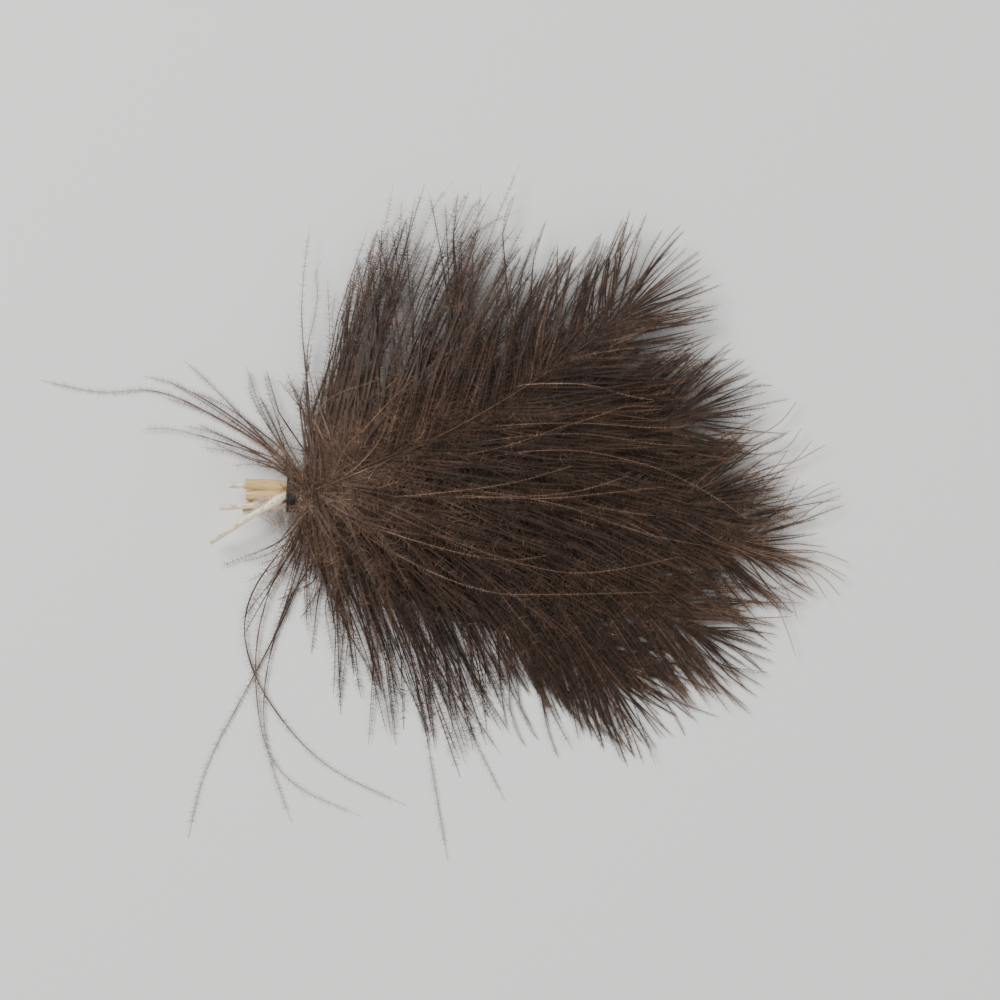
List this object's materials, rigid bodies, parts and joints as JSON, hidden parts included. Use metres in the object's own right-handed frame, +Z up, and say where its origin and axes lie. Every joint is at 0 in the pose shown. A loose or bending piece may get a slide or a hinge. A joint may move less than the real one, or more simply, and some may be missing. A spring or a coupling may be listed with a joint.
{
  "type": "tied bunch of cul de canard feathers",
  "caption": "Small fan of soft brown-grey down feathers lying flat, their cream quills tied together with dark thread.",
  "frame": {"origin": "middle of the bunch's box, on the surface that it lies on", "axes": "+X from the quills to the vane tips, +Y across the bunch, +Z up from the surface"},
  "size_m": [0.0792, 0.0698, 0.008],
  "materials": {
    "down": "soft brown-grey down on cream quills",
    "thread": "dark waxed thread"
  },
  "bodies": {
    "root": {"feather_lower": "down", "feather_lower_middle": "down", "feather_long": "down", "feather_middle": "down", "feather_upper_middle": "down", "feather_short": "down", "feather_upper": "down", "tie_thread": "thread"}
  },
  "joints": []
}
